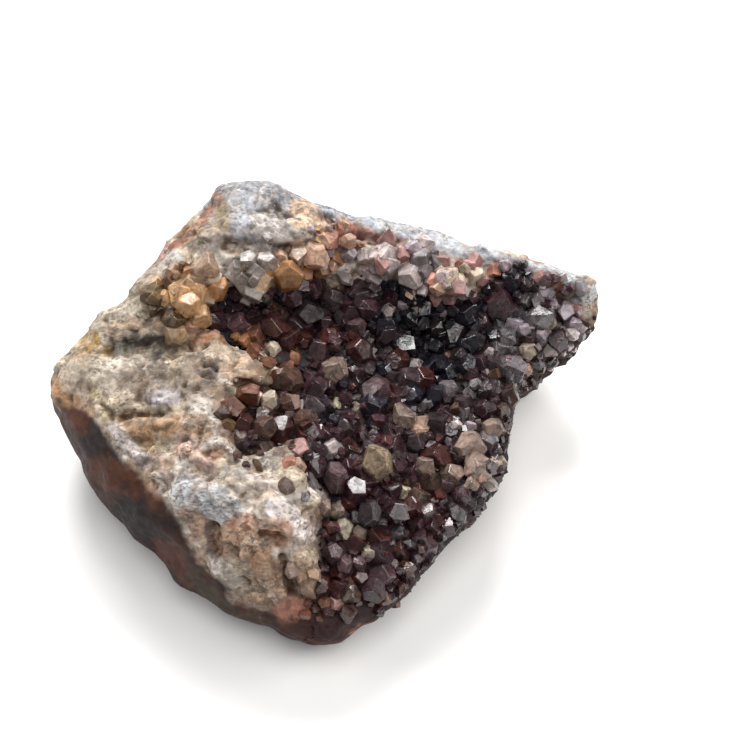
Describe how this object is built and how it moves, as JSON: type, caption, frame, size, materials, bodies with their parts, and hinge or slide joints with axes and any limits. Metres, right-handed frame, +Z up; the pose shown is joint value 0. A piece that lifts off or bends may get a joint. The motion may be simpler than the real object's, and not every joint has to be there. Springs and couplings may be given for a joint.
{
  "type": "druzy crystal cluster",
  "caption": "Broken hand specimen of pale granular rock with a shallow hollow lined by a crust of small dark quartz crystals, lying on a flat underside.",
  "frame": {"origin": "on the surface that the specimen rests on, under the middle of its bounding box", "axes": "+Z up, +X along the specimen's longest side, -Y towards the open side of the hollow"},
  "size_m": [0.093, 0.0797, 0.0357],
  "materials": {
    "pale_rock": "matte granular quartz rock with ochre and rust stains, and coarse pale crystals along the hollow's back lip",
    "dark_quartz": "glassy, slightly see-through plum-brown quartz crystals with smoky, honey and grey ones among them"
  },
  "bodies": {
    "root": {"matrix_rock": "pale_rock", "crystal_crust": "dark_quartz"}
  },
  "joints": []
}
